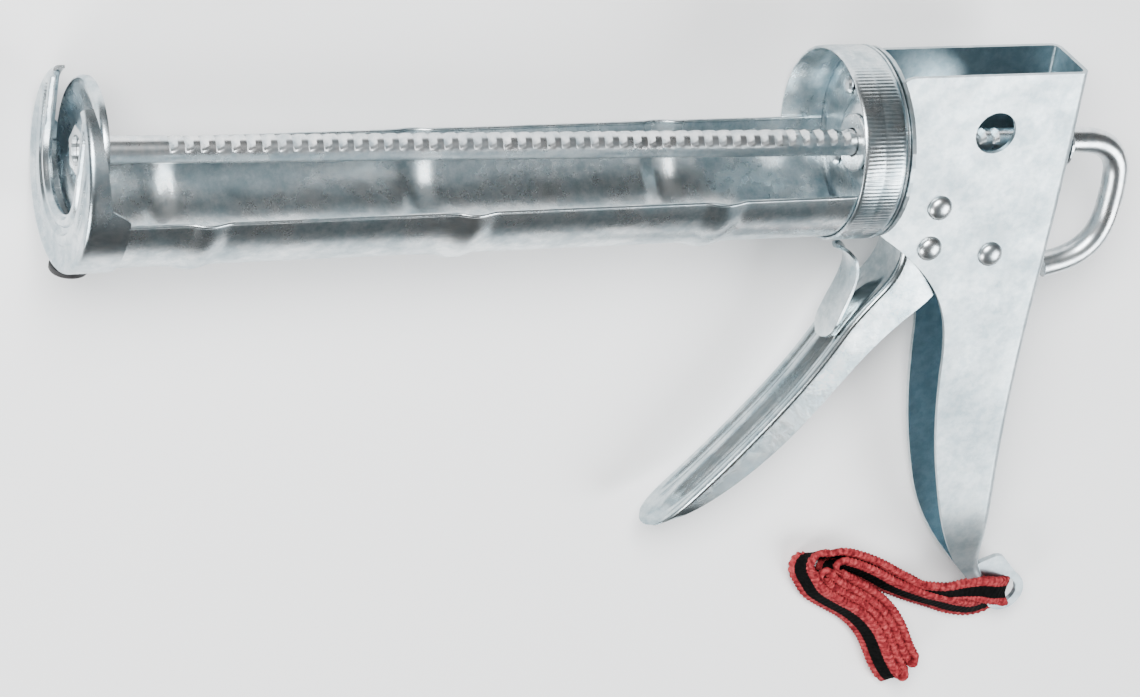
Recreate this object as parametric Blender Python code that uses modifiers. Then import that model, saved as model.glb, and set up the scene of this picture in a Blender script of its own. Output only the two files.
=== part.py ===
"""Caulking gun, half-barrel ratchet type, lying on its side with its wrist strap.

Everything is modelled in the gun's own axes and hangs on one empty that lays the gun
down: gun X runs from nozzle to handle, gun Z from handle to barrel top and gun Y from
the side that shows to the side that rests on the table.  Sizes below are millimetres.
"""
import math

import bmesh
import bpy
from mathutils import Matrix, Vector

MM = 0.001
GAP = 0.3                     # clearance between neighbouring pieces

# placing of the gun on the table
LEAN = 7.3                    # degrees the handle leans down until it touches the table
SHIFT = (63.08, 68.92, 28.55)   # of the barrel axis origin, which centres the gun on the row origin

# barrel
SHEET = 0.9                   # sheet of cradle, collar and cap
COLLAR_R = 28.5
COLLAR_W = 13.4
CRADLE_R = COLLAR_R - SHEET - GAP
CRADLE_FRONT = -229.0
CRADLE_REAR = 12.6
CRADLE_EDGE_Z = -5.0
RIB_X = (-196.0, -118.0, -41.0)
RIB_W = 13.0
RIB_H = 1.3
BACK_PLATE_X = COLLAR_W + GAP
BACK_PLATE_T = 1.3
FLANGE_X = BACK_PLATE_X + BACK_PLATE_T + GAP
FLANGE_T = 1.2
COLLAR_RIVET = (14.2, 11.6)   # y and z of the four rivets
BOSS_R = 11.5
BOSS_H = 2.4

# nozzle cap
CAP_X = -231.4
CAP_R = 28.5
SLOT_R = 14.0
SLOT_Z = 2.0
CAP_DEPTH = 6.0
TAB_DEPTH = 12.5
TAB_TOP_Z = 1.5

# handle frame
FRAME_W = 21.4
FRAME_T = 1.4
FRAME_BACK_X = 79.0
FRAME_TOP = 25.0
VIEW_HOLE = (51.0, 6.4, 6.6)  # x, z and radius of the hole in the near plate
FRAME_ROWS = (                # z, front edge x, back x, outer width
    (25.0, 20.6, 79.0, 21.4), (24.2, 18.4, 79.0, 21.4), (22.2, 16.8, 79.0, 21.4),
    (0.0, 16.8, 78.8, 21.4), (-24.0, 16.8, 78.3, 21.4), (-27.0, 20.6, 78.2, 21.4),
    (-31.0, 26.4, 78.0, 21.4), (-36.0, 32.6, 77.9, 21.4), (-42.0, 38.6, 77.6, 21.4),
    (-49.0, 43.6, 77.3, 21.4), (-57.0, 47.0, 77.0, 21.4), (-66.0, 48.8, 76.8, 21.4),
    (-77.0, 49.8, 76.7, 21.4), (-90.0, 51.4, 76.7, 21.4), (-103.0, 53.9, 77.0, 21.4),
    (-116.0, 57.4, 77.7, 21.4), (-127.0, 61.0, 78.4, 20.8), (-136.0, 65.2, 79.3, 18.0),
    (-143.0, 69.6, 80.4, 13.4), (-149.0, 74.6, 82.4, 9.0), (-154.0, 79.4, 85.4, 6.6),
)
EYE_CENTRE = (94.6, -160.6)
EYE_R = 7.0
EYE_HOLE_R = 4.5
EYE_T = 1.8                   # of the strap's eye
FOOT_NOTCH = (79.6, -147.0)   # x and z where the slot for the eye starts

# rivets: x, z
PIVOT = (36.7, -31.0)
UPPER_RIVET = (37.4, -17.6)
REAR_RIVET = (57.6, -33.8)
RIVET_SHANK_R = 2.2
RIVET_HEAD_R = 3.9
RIVET_HEAD_H = 2.2

# trigger: (x, z) down the front face and down the open rear edge
TRIGGER_W = 16.8
TRIGGER_T = 1.2
TRIGGER_FRONT = (
    (25.0, -14.5), (25.6, -20.4), (27.0, -25.6), (28.8, -31.0), (29.6, -36.0), (27.6, -42.6),
    (23.6, -48.0), (16.8, -56.9), (11.6, -66.3), (4.6, -77.4), (-3.0, -87.6), (-12.4, -99.2),
    (-22.6, -110.8), (-30.6, -119.3), (-36.6, -125.2),
)
TRIGGER_REAR = (
    (33.2, -14.5), (33.2, -20.4), (43.2, -25.6), (45.6, -31.0), (46.0, -37.0), (44.8, -44.0),
    (41.4, -49.8), (33.6, -56.8), (25.2, -65.8), (17.0, -77.0), (8.4, -89.0), (-1.2, -100.4),
    (-13.8, -111.6), (-24.6, -118.6), (-33.6, -123.6),
)
RIDGE_FROM = 6                # first trigger station with the raised ridge
PAWL_PIN = (30.6, -20.2)
PAWL_PIN_R = 1.5
LIP_PATH = (
    (10.2, -62.6), (13.2, -57.6), (15.4, -52.0), (17.0, -46.4), (17.6, -41.6), (16.6, -37.6),
    (14.2, -34.9), (11.4, -33.6),
)
LIP_W = (12.0, 12.0, 11.4, 10.8, 10.2, 9.4, 7.6, 4.0)
LIP_T = 1.1

# ratchet rod: runs in its own line, which rises towards the nozzle
ROD_R = 3.9
ROD_TILT = 1.46               # degrees
ROD_PIVOT = (12.0, -0.3)      # x, z where the rod line crosses the collar's guide
ROD_FRONT = -237.6            # along the rod line from ROD_PIVOT
ROD_PLAIN = -214.0            # where the plain front of the rod ends
TOOTH_PITCH = 4.5
TOOTH_DEPTH = 2.1
TOOTH_COUNT = 58
TOOTH_TURN = 14.0             # degrees the toothed side leans to the near plate
HOOK_PATH = (                 # x, z along the rod line
    (74.0, 0.0), (79.0, -0.2), (83.4, -1.5), (87.0, -4.2), (89.3, -8.0), (90.2, -12.6),
    (90.4, -20.0), (89.8, -27.0), (87.6, -33.0), (83.6, -37.4), (78.2, -40.2), (71.6, -42.0),
)

# piston
DISC_R = 20.5
DISC_T = 1.2
DISC_X = -238.6               # of the disc's rim plane, along the rod line
GUIDE_BORE = ROD_R + 0.45

# wrist strap
STRAP_RUN = (                 # row x, y and z, half width across and half height
    (145.4, -92.4, 6.4, 3.0, 4.4), (139.0, -91.4, 6.0, 4.2, 5.2), (132.0, -91.0, 5.6, 2.6, 5.2),
    (124.6, -89.6, 5.4, 1.8, 5.2),
)
STRAP_BUNDLE_Z = (0.0, 10.6)
BUNDLE_PATH = (               # row x and y of the folded bundle's middle, and its half width
    (85.0, -80.4, 4.0), (88.6, -80.2, 6.2), (96.0, -81.6, 7.0), (104.4, -85.8, 7.0),
    (111.6, -93.0, 6.8), (117.4, -102.0, 6.6), (122.0, -110.6, 6.2), (125.4, -117.0, 5.4),
)

SIDES = 28


def material(name, colour, roughness, metallic):
    made = bpy.data.materials.new(name)
    made.use_nodes = True
    shader = made.node_tree.nodes["Principled BSDF"]
    shader.inputs["Base Color"].default_value = (*colour, 1.0)
    shader.inputs["Roughness"].default_value = roughness
    shader.inputs["Metallic"].default_value = metallic
    return made


def link(name, mesh, parent, collection, look):
    mesh.name = name
    made = bpy.data.objects.new(name, mesh)
    collection.objects.link(made)
    made.parent = parent
    mesh.materials.append(look)
    return made


def finish_mesh(shape, name, smooth=True):
    bmesh.ops.recalc_face_normals(shape, faces=shape.faces)
    mesh = bpy.data.meshes.new(name)
    shape.to_mesh(mesh)
    shape.free()
    if smooth:
        mesh.shade_smooth()
        mesh.set_sharp_from_angle(angle=math.radians(35))
    return mesh


def at(x, y, z):
    return Vector((x, y, z)) * MM


# ---- shapes ---------------------------------------------------------------

def turned_mesh(name, profile, steps, closed=True):
    """Profile of (radius, height) turned round the gun's X axis, height along +X."""
    mesh = bpy.data.meshes.new(name)
    points = [(r * MM, 0.0, h * MM) for r, h in profile]
    edges = [(i, i + 1) for i in range(len(points) - 1)]
    if closed:
        edges.append((len(points) - 1, 0))
    mesh.from_pydata(points, edges, [])
    guide = bpy.data.objects.new(name + "_profile", mesh)
    bpy.context.scene.collection.objects.link(guide)
    screw = guide.modifiers.new("turn", "SCREW")
    screw.steps = screw.render_steps = steps
    screw.use_merge_vertices = True
    screw.merge_threshold = 0.00002
    screw.use_smooth_shade = True
    bpy.context.view_layer.update()
    solid = bpy.data.meshes.new_from_object(guide.evaluated_get(bpy.context.evaluated_depsgraph_get()))
    bpy.data.objects.remove(guide)
    shape = bmesh.new()
    shape.from_mesh(solid)
    bmesh.ops.remove_doubles(shape, verts=shape.verts, dist=0.00002)
    bmesh.ops.rotate(shape, verts=shape.verts, cent=(0, 0, 0), matrix=Matrix.Rotation(math.pi / 2, 3, "Y"))
    bpy.data.meshes.remove(solid)
    return finish_mesh(shape, name)


def turned(name, profile, place, parent, parts, look, steps=SIDES, closed=True, turn=0.0):
    made = link(name, turned_mesh(name, profile, steps, closed), parent, parts, look)
    made.location = at(*place)
    made.rotation_euler = (0.0, 0.0, turn)
    return made


def loft(name, rings, caps=True):
    """One closed body through equal-length rings of points."""
    shape = bmesh.new()
    rows = [[shape.verts.new(point) for point in ring] for ring in rings]
    count = len(rows[0])
    for low, high in zip(rows, rows[1:]):
        for i in range(count):
            j = (i + 1) % count
            shape.faces.new((low[i], low[j], high[j], high[i]))
    if caps:
        shape.faces.new(rows[0])
        shape.faces.new(rows[-1])
    return finish_mesh(shape, name)


def slab_mesh(name, outline, thickness):
    """Flat outline of (x, z) points, extruded along Y to the thickness, centred on y = 0."""
    curve = bpy.data.curves.new(name, "CURVE")
    curve.dimensions = "2D"
    curve.fill_mode = "BOTH"
    curve.extrude = thickness * MM / 2
    for loop in outline:
        spline = curve.splines.new("POLY")
        spline.points.add(len(loop) - 1)
        for point, (x, z) in zip(spline.points, loop):
            point.co = (x * MM, z * MM, 0.0, 1.0)
        spline.use_cyclic_u = True
    holder = bpy.data.objects.new(name, curve)
    bpy.context.scene.collection.objects.link(holder)
    bpy.context.view_layer.update()
    solid = bpy.data.meshes.new_from_object(holder.evaluated_get(bpy.context.evaluated_depsgraph_get()))
    bpy.data.objects.remove(holder)
    shape = bmesh.new()
    shape.from_mesh(solid)
    bmesh.ops.remove_doubles(shape, verts=shape.verts, dist=0.00001)
    bmesh.ops.rotate(shape, verts=shape.verts, cent=(0, 0, 0), matrix=Matrix.Rotation(math.pi / 2, 3, "X"))
    bpy.data.meshes.remove(solid)
    return finish_mesh(shape, name)


def arc(cx, cz, radius, start, end, steps):
    angles = [math.radians(start + (end - start) * i / steps) for i in range(steps + 1)]
    return [(cx + radius * math.cos(a), cz + radius * math.sin(a)) for a in angles]


def sheet(name, grid, thickness, offset):
    """Open grid of points made solid; offset -1 thickens away from the normals."""
    shape = bmesh.new()
    rows = [[shape.verts.new(point) for point in row] for row in grid]
    for low, high in zip(rows, rows[1:]):
        for i in range(len(low) - 1):
            shape.faces.new((low[i], low[i + 1], high[i + 1], high[i]))
    mesh = bpy.data.meshes.new(name)
    shape.to_mesh(mesh)
    shape.free()
    guide = bpy.data.objects.new(name, mesh)
    bpy.context.scene.collection.objects.link(guide)
    solid = guide.modifiers.new("sheet", "SOLIDIFY")
    solid.thickness = thickness * MM
    solid.offset = offset
    solid.use_even_offset = True
    bpy.context.view_layer.update()
    made = bpy.data.meshes.new_from_object(guide.evaluated_get(bpy.context.evaluated_depsgraph_get()))
    bpy.data.objects.remove(guide)
    shape = bmesh.new()
    shape.from_mesh(made)
    bpy.data.meshes.remove(made)
    return finish_mesh(shape, name)


def cutter(name, mesh, parent, cutters):
    made = bpy.data.objects.new(name, mesh)
    cutters.objects.link(made)
    made.parent = parent
    made.hide_render = True
    made.display_type = "WIRE"
    return made


def cut(target, tool):
    step = target.modifiers.new(tool.name, "BOOLEAN")
    step.operation = "DIFFERENCE"
    step.solver = "EXACT"
    step.object = tool


def pin_mesh(name, radius, length, steps=16):
    """Cylinder along Y, centred."""
    shape = bmesh.new()
    bmesh.ops.create_cone(shape, cap_ends=True, segments=steps, radius1=radius * MM, radius2=radius * MM,
                          depth=length * MM)
    bmesh.ops.rotate(shape, verts=shape.verts, cent=(0, 0, 0), matrix=Matrix.Rotation(math.pi / 2, 3, "X"))
    return finish_mesh(shape, name)


# ---- barrel ---------------------------------------------------------------

def collar(gun, parts, zinc):
    inner = COLLAR_R - SHEET
    band = [(COLLAR_R, COLLAR_W - 0.6), (COLLAR_R, 0.3), (COLLAR_R - 0.3, 0.0), (inner, 0.0),
            (inner, COLLAR_W), (COLLAR_R - 0.6, COLLAR_W)]
    turned("collar_ring", band, (0, 0, 0), gun, parts, zinc, steps=40)
    front, rear = BACK_PLATE_X, BACK_PLATE_X + BACK_PLATE_T
    hole = GUIDE_BORE + 1.5
    edge = COLLAR_R - 0.5
    plate = [(edge, rear), (edge, front), (BOSS_R + 3.0, front), (BOSS_R, front - BOSS_H),
             (hole, front - BOSS_H), (hole, rear - BOSS_H), (BOSS_R, rear - BOSS_H), (BOSS_R + 3.0, rear)]
    return turned("collar_back_plate", plate, (0, 0, 0), gun, parts, zinc, steps=40)


def rib_lift(x):
    lift = 0.0
    for rib in RIB_X:
        d = abs(x - rib) / (RIB_W / 2)
        if d < 1.0:
            lift = max(lift, RIB_H * (0.5 + 0.5 * math.cos(math.pi * d)))
    return lift


def cradle(gun, parts, zinc):
    stations = {CRADLE_FRONT, CRADLE_REAR}
    for rib in RIB_X:
        stations.update(rib + RIB_W * k / 8 for k in range(-4, 5))
    half = math.degrees(math.acos(-CRADLE_EDGE_Z / CRADLE_R))
    angles = [math.radians(-half + 2 * half * k / 18) for k in range(19)]
    grid = []
    for x in sorted(stations):
        r = CRADLE_R + rib_lift(x)
        grid.append([at(x, r * math.sin(a), -r * math.cos(a)) for a in angles])
    link("cradle", sheet("cradle", grid, SHEET, -1.0), gun, parts, zinc)


def cap(gun, parts, cutters, zinc, rubber):
    """Front plate with a U slot, and a skirt that laps the cradle below."""
    inner = CAP_R - SHEET
    rear = CAP_X + TAB_DEPTH
    shell = [(CAP_R, rear), (CAP_R, CAP_X + 1.6), (CAP_R - 1.6, CAP_X), (0.0, CAP_X),
             (0.0, CAP_X + SHEET), (inner - 0.8, CAP_X + SHEET), (inner, CAP_X + 2.0), (inner, rear)]
    body = turned("nozzle_cap", shell, (0, 0, 0), gun, parts, zinc, steps=44)
    top = CAP_R + 6
    slot = [(-SLOT_R, top)] + arc(0, SLOT_Z, SLOT_R, 180, 360, 16) + [(SLOT_R, top)]
    tool = slab_mesh("cap_slot", [slot], 2 * TAB_DEPTH + 14)
    made = cutter("cap_slot", tool, gun, cutters)
    made.rotation_euler = (0, 0, math.pi / 2)
    made.location = at(CAP_X, 0, 0)
    cut(body, made)
    trim = [(CAP_X + 2.8, CAP_R + 8), (CAP_X + 2.8, 22.0), (CAP_X + CAP_DEPTH, 8.0),
            (CAP_X + CAP_DEPTH + 1.0, TAB_TOP_Z + 1.0), (rear - 3.0, TAB_TOP_Z),
            (rear + 4, TAB_TOP_Z - 4.0), (rear + 9, TAB_TOP_Z), (rear + 9, CAP_R + 8)]
    side = cutter("cap_trim", slab_mesh("cap_trim", [trim], 3 * CAP_R), gun, cutters)
    cut(body, side)
    foot = [(0.0, 2.6), (4.6, 2.6), (5.6, 1.8), (5.6, 0.0), (0.0, 0.0)]
    made = turned("cap_foot", foot[::-1], (CAP_X + 5.2, 0, -CAP_R - GAP), gun, parts, rubber, steps=20,
                  closed=False)
    made.rotation_euler = (0, math.pi / 2, 0)


# ---- handle ---------------------------------------------------------------

def handle_frame(gun, parts, cutters, zinc):
    bend = 3.0
    grid = []
    for z, front, back, width in FRAME_ROWS:
        w = width / 2
        r = min(bend, w * 0.7)
        corner = [(back - r + r * math.sin(math.radians(a)), w - r + r * math.cos(math.radians(a)))
                  for a in (0, 30, 60, 90)]
        far = [(front, w)] + corner
        near = [(x, -y) for x, y in reversed(far)]
        grid.append([at(x, y, z) for x, y in far + near])
    frame = link("handle_frame", sheet("handle_frame", grid, FRAME_T, -1.0), gun, parts, zinc)
    hole_x, hole_z, hole_r = VIEW_HOLE
    near = -FRAME_W / 2
    tool = cutter("view_hole", pin_mesh("view_hole", hole_r, 8, 28), gun, cutters)
    tool.location = at(hole_x, near, hole_z)
    cut(frame, tool)
    for name, (x, z) in (("pivot", PIVOT), ("upper", UPPER_RIVET), ("rear", REAR_RIVET)):
        bore = pin_mesh(name + "_bore", RIVET_SHANK_R + GAP, FRAME_W + 8, 14)
        tool = cutter(name + "_bore", bore, gun, cutters)
        tool.location = at(x, 0, z)
        cut(frame, tool)
    slot = cutter("rod_window", pin_mesh("rod_window", GUIDE_BORE + 1.7, 14, 24), gun, cutters)
    slot.rotation_euler = (0, 0, math.pi / 2)
    slot.location = at(FRAME_BACK_X, 0, rod_line_z(FRAME_BACK_X))
    cut(frame, slot)
    notch = [(FOOT_NOTCH[0], FOOT_NOTCH[1]), (FOOT_NOTCH[0], -170.0), (95.0, -170.0), (95.0, FOOT_NOTCH[1])]
    cut(frame, cutter("foot_notch", slab_mesh("foot_notch", [notch], EYE_T + 2 * GAP), gun, cutters))
    return frame


def rod_line_z(x):
    return ROD_PIVOT[1] - math.tan(math.radians(ROD_TILT)) * (x - ROD_PIVOT[0])


def rivet(name, place, gun, parts, steel):
    """Shank through both plates with a domed head outside each."""
    half = FRAME_W / 2 + GAP
    dome = [(RIVET_HEAD_R * math.cos(math.radians(a)), half + RIVET_HEAD_H * math.sin(math.radians(a)))
            for a in (0, 25, 50, 72)]
    upper = [(0.0, half + RIVET_HEAD_H)] + dome[::-1] + [(RIVET_SHANK_R, half)]
    profile = upper + [(r, -h) for r, h in reversed(upper)]
    x, z = place
    turned(name, profile, (x, 0, z), gun, parts, steel, steps=18, closed=False, turn=math.pi / 2)


def sleeve(name, place, gun, parts, steel, length, radius=4.4):
    bore = RIVET_SHANK_R + GAP
    half = length / 2
    ring = [(radius, half), (radius, -half), (bore, -half), (bore, half)]
    turned(name, ring, (place[0], 0, place[1]), gun, parts, steel, steps=18, turn=math.pi / 2)


def strap_eye(gun, parts, zinc):
    """Flat tab with a round eye, held between the pinched ends of the plates."""
    shoulder = arc(90.0, -151.6, 4.2, 60, 120, 3)
    tab = [(84.0, -149.4), (80.6, -152.6)]
    outer = arc(*EYE_CENTRE, EYE_R, -125, 60, 14) + shoulder + tab
    inner = arc(EYE_CENTRE[0] - 0.2, EYE_CENTRE[1] + 0.2, EYE_HOLE_R, 0, 337.5, 15)
    link("strap_eye", slab_mesh("strap_eye", [outer, inner], EYE_T), gun, parts, zinc)


def trigger(hinge, parts, cutters, zinc):
    """Channel with a raised ridge on its front, open to the rear."""
    w = TRIGGER_W / 2
    grid = []
    for index, ((fx, fz), (rx, rz)) in enumerate(zip(TRIGGER_FRONT, TRIGGER_REAR)):
        inward = Vector((rx - fx, rz - fz)).normalized()
        ridge = 0.0 if index < RIDGE_FROM else 1.7
        across = ((w, None), (w, 2.0), (w - 1.4, 0.0), (3.9, 0.3), (2.6, -ridge), (0.0, -ridge * 1.25))
        row = []
        for y, depth in across:
            x, z = (rx, rz) if depth is None else (fx + inward.x * depth, fz + inward.y * depth)
            row.append(at(x - PIVOT[0], y, z - PIVOT[1]))
        row += [Vector((p.x, -p.y, p.z)) for p in reversed(row[:-1])]
        grid.append(row)
    made = link("trigger", sheet("trigger", grid, TRIGGER_T, 1.0), hinge, parts, zinc)
    tool = cutter("trigger_bore", pin_mesh("trigger_bore", 4.4 + GAP, TRIGGER_W + 8, 18), hinge, cutters)
    cut(made, tool)
    bore = pin_mesh("pawl_pin_bore", PAWL_PIN_R + GAP, TRIGGER_W + 8, 14)
    pin = cutter("pawl_pin_bore", bore, hinge, cutters)
    pin.location = at(PAWL_PIN[0] - PIVOT[0], 0, PAWL_PIN[1] - PIVOT[1])
    cut(made, pin)
    return made


def trigger_lip(hinge, parts, zinc):
    """Tongue that curls forward off the trigger's front, above the fingers."""
    grid = []
    for (x, z), width in zip(LIP_PATH, LIP_W):
        grid.append([at(x - PIVOT[0], y * width / 2, z - PIVOT[1]) for y in (1, 0.5, 0, -0.5, -1)])
    link("trigger_lip", sheet("trigger_lip", grid, LIP_T, 0.0), hinge, parts, zinc)


# ---- inside the handle ------------------------------------------------------

def mounting_flange(gun, parts, cutters, zinc, steel):
    """Round flange behind the collar that the handle's plates are welded to, with its rivets."""
    front = FLANGE_X
    rear = FLANGE_X + FLANGE_T
    hole = GUIDE_BORE + 2.2
    edge = COLLAR_R - 0.4
    ring = [(edge, rear), (edge, front), (hole, front), (hole, rear)]
    flange = turned("mounting_flange", ring, (0, 0, 0), gun, parts, zinc, steps=40)
    head = 2.7
    face = BACK_PLATE_X - GAP
    back = rear + GAP
    profile = [(0.0, back + 1.5), (head - 0.6, back + 1.2), (head, back + 0.4), (head, back), (1.5, back),
               (1.5, face), (head, face), (head, face - 0.4), (head - 0.8, face - 1.1), (0.0, face - 1.4)]
    corners = (("far_upper", 1, 1), ("near_upper", -1, 1), ("far_lower", 1, -1), ("near_lower", -1, -1))
    for name, y, z in corners:
        place = (0, y * COLLAR_RIVET[0], z * COLLAR_RIVET[1])
        tool = cutter(name + "_bore", pin_mesh(name + "_bore", 1.5 + GAP, 12, 12), gun, cutters)
        tool.rotation_euler = (0, 0, math.pi / 2)
        tool.location = at(front, *place[1:])
        cut(flange, tool)
        cut(bpy.data.objects["collar_back_plate"], tool)
        turned(name + "_collar_rivet", profile, place, gun, parts, steel, steps=14, closed=False)


def guide_bush(name, x, flange, length, line, parts, look):
    outer = GUIDE_BORE + 1.2
    ring = [(outer, length), (outer, 0.9), (flange, 0.9), (flange, 0.2), (flange - 0.4, 0.0),
            (GUIDE_BORE, 0.0), (GUIDE_BORE, length)]
    return turned(name, ring, (x, 0, 0), line, parts, look, steps=24)


def pawl(hinge, parts, steel):
    """Driving pawl on the trigger, and its pin."""
    pin = link("pawl_pin", pin_mesh("pawl_pin", PAWL_PIN_R, TRIGGER_W - 0.4, 12), hinge, parts, steel)
    pin.location = at(PAWL_PIN[0] - PIVOT[0], 0, PAWL_PIN[1] - PIVOT[1])
    pawl_axis = bpy.data.objects.new("pawl_axis", None)
    parts.objects.link(pawl_axis)
    pawl_axis.parent = hinge
    pawl_axis.location = at(PAWL_PIN[0] - PIVOT[0], 0, PAWL_PIN[1] - PIVOT[1])
    outline = arc(0, 0, 2.7, 180, 360, 8) + [(2.5, 3.0), (2.2, 9.0), (1.2, 14.6), (-0.6, 14.8), (-1.6, 9.0)]
    hole = arc(0, 0, PAWL_PIN_R + GAP, 0, 330, 11)
    link("drive_pawl", slab_mesh("drive_pawl", [outline, hole], 5.0), pawl_axis, parts, steel)


def coil(name, start, end, radius, wire, turns, parent, parts, look):
    """Open coil spring of round wire."""
    a, b = Vector(start), Vector(end)
    along = (b - a).normalized()
    side = along.cross(Vector((0, 0, 1))).normalized()
    other = along.cross(side)
    curve = bpy.data.curves.new(name, "CURVE")
    curve.dimensions = "3D"
    curve.bevel_depth = wire * MM
    curve.bevel_resolution = 1
    curve.use_fill_caps = True
    spline = curve.splines.new("POLY")
    count = int(turns * 8)
    spline.points.add(count)
    for i, point in enumerate(spline.points):
        angle = 2 * math.pi * i / 8
        p = a + (b - a) * i / count + radius * (side * math.cos(angle) + other * math.sin(angle))
        point.co = (*(p * MM), 1.0)
    holder = bpy.data.objects.new(name, curve)
    bpy.context.scene.collection.objects.link(holder)
    bpy.context.view_layer.update()
    solid = bpy.data.meshes.new_from_object(holder.evaluated_get(bpy.context.evaluated_depsgraph_get()))
    bpy.data.objects.remove(holder)
    shape = bmesh.new()
    shape.from_mesh(solid)
    bmesh.ops.remove_doubles(shape, verts=shape.verts, dist=0.00001)
    bpy.data.meshes.remove(solid)
    return link(name, finish_mesh(shape, name), parent, parts, look)


# ---- rod and piston ----------------------------------------------------------

def rod_section(x, z, direction, clip):
    """Ten-sided section square to the path, flattened on its toothed side by clip."""
    up = Vector((-direction.z, 0.0, direction.x))
    lean = math.radians(TOOTH_TURN)
    ring = []
    for k in range(10):
        a = 2 * math.pi * (k + 0.5) / 10
        u, v = ROD_R * math.cos(a), ROD_R * math.sin(a)
        v = min(v, ROD_R - clip)
        y = u * math.cos(lean) - v * math.sin(lean)
        w = u * math.sin(lean) + v * math.cos(lean)
        ring.append(at(x, y, z) + up * w * MM)
    return ring


def ratchet_rod(line, parts, steel):
    forward = Vector((1, 0, 0))
    rings = [rod_section(ROD_FRONT, 0, forward, 0.0), rod_section(ROD_PLAIN, 0, forward, 0.0)]
    for tooth in range(TOOTH_COUNT):
        x = ROD_PLAIN + 0.3 + tooth * TOOTH_PITCH
        rings.append(rod_section(x, 0, forward, TOOTH_DEPTH))
        rings.append(rod_section(x + TOOTH_PITCH - 0.3, 0, forward, 0.0))
    path = [Vector((x, 0, z)) for x, z in HOOK_PATH]
    for i, point in enumerate(path):
        ahead = path[min(i + 1, len(path) - 1)]
        behind = path[max(i - 1, 0)]
        direction = (ahead - behind).normalized()
        rings.append(rod_section(point.x, point.z, direction, 0.0))
    made = link("ratchet_rod", loft("ratchet_rod", rings), line, parts, steel)
    return made


def piston(line, parts, zinc, steel):
    x = DISC_X
    bore = ROD_R + GAP
    r = DISC_R
    top = [(r, x + 2.6), (r, x + 0.6), (r - 0.9, x - 0.3), (r - 2.6, x), (r - 5.5, x + 2.4),
           (bore, x + 2.4)]
    under = [(bore, x + 2.4 + DISC_T), (r - 6.0, x + 2.4 + DISC_T), (r - 2.6, x + 1.3), (r - 1.3, x + 1.4),
             (r - 1.1, x + 2.6)]
    turned("piston_disc", (top + under), (0, 0, 0), line, parts, zinc, steps=36)
    thick = 2.6
    for name, front in (("front_nut", x + 2.4 - GAP - thick), ("back_nut", x + 2.4 + DISC_T + GAP)):
        faces = [arc(0, 0, 7.0, 0, 300, 5), arc(0, 0, bore + 0.1, 0, 345, 23)]
        nut = link(name, slab_mesh(name, faces, thick), line, parts, steel)
        nut.rotation_euler = (0, 0, math.pi / 2)
        nut.location = at(front + thick / 2, 0, 0)


# ---- strap ------------------------------------------------------------------

def strap(parts, webbing):
    """Plain solids for the strap, on the table: the run from the eye and the folded bundle."""
    rings = []
    for x, y, z, across, high in STRAP_RUN:
        rings.append([at(x, y - across, z - high), at(x, y + across, z - high),
                      at(x, y + across, z + high), at(x, y - across, z + high)])
    link("strap_run", loft("strap_run", rings), None, parts, webbing)
    low, high = STRAP_BUNDLE_Z
    rings = []
    for i, (x, y, half) in enumerate(BUNDLE_PATH):
        ahead = Vector(BUNDLE_PATH[min(i + 1, len(BUNDLE_PATH) - 1)][:2])
        behind = Vector(BUNDLE_PATH[max(i - 1, 0)][:2])
        along = (ahead - behind).normalized()
        side = Vector((-along.y, along.x)) * half
        near, far = Vector((x, y)) - side, Vector((x, y)) + side
        rings.append([at(*near, low), at(*far, low), at(*far, high), at(*near, high)])
    link("strap_bundle", loft("strap_bundle", rings), None, parts, webbing)


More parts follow.
